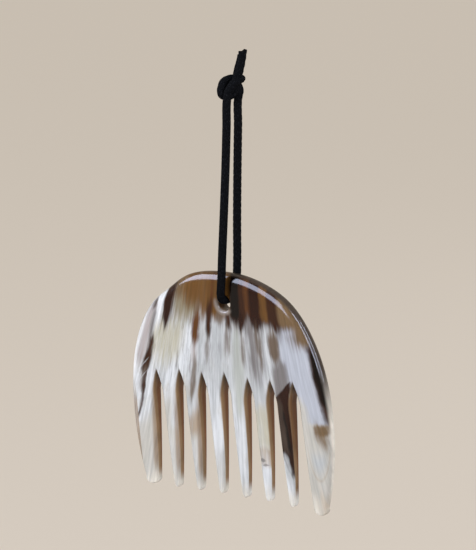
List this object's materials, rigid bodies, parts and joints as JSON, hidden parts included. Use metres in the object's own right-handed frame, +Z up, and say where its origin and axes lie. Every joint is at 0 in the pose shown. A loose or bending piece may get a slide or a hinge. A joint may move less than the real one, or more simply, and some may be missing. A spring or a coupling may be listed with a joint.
{
  "type": "horn mane comb",
  "caption": "Wide-toothed mane comb cut from a domed plate of polished horn, hung by a knotted black cord through a hole near its top edge.",
  "frame": {"origin": "the hanging point, inside the top of the cord's loop and under its knot", "axes": "+Z up along the hanging cord, the comb's front face towards -Y, its width along X"},
  "size_m": [0.1005, 0.0128, 0.1804],
  "materials": {
    "polished_horn": "polished horn, cloudy white with brown and near-black streaks",
    "black_cord": "matte black round cord"
  },
  "bodies": {
    "knot": {"cord_knot": "black_cord"},
    "loop": {"cord_loop": "black_cord"},
    "comb": {"horn_comb": "polished_horn"}
  },
  "joints": [
    {"name": "cord_twist", "type": "hinge", "parent": "knot", "child": "loop", "pos_m": [0, 0, 0], "axis": [0, 0, 1], "range_deg": [-90, 90]},
    {"name": "comb_swing", "type": "hinge", "parent": "loop", "child": "comb", "pos_m": [0.0001, 0, -0.07815], "axis": [0, 1, 0], "range_deg": [-60, 60]}
  ]
}
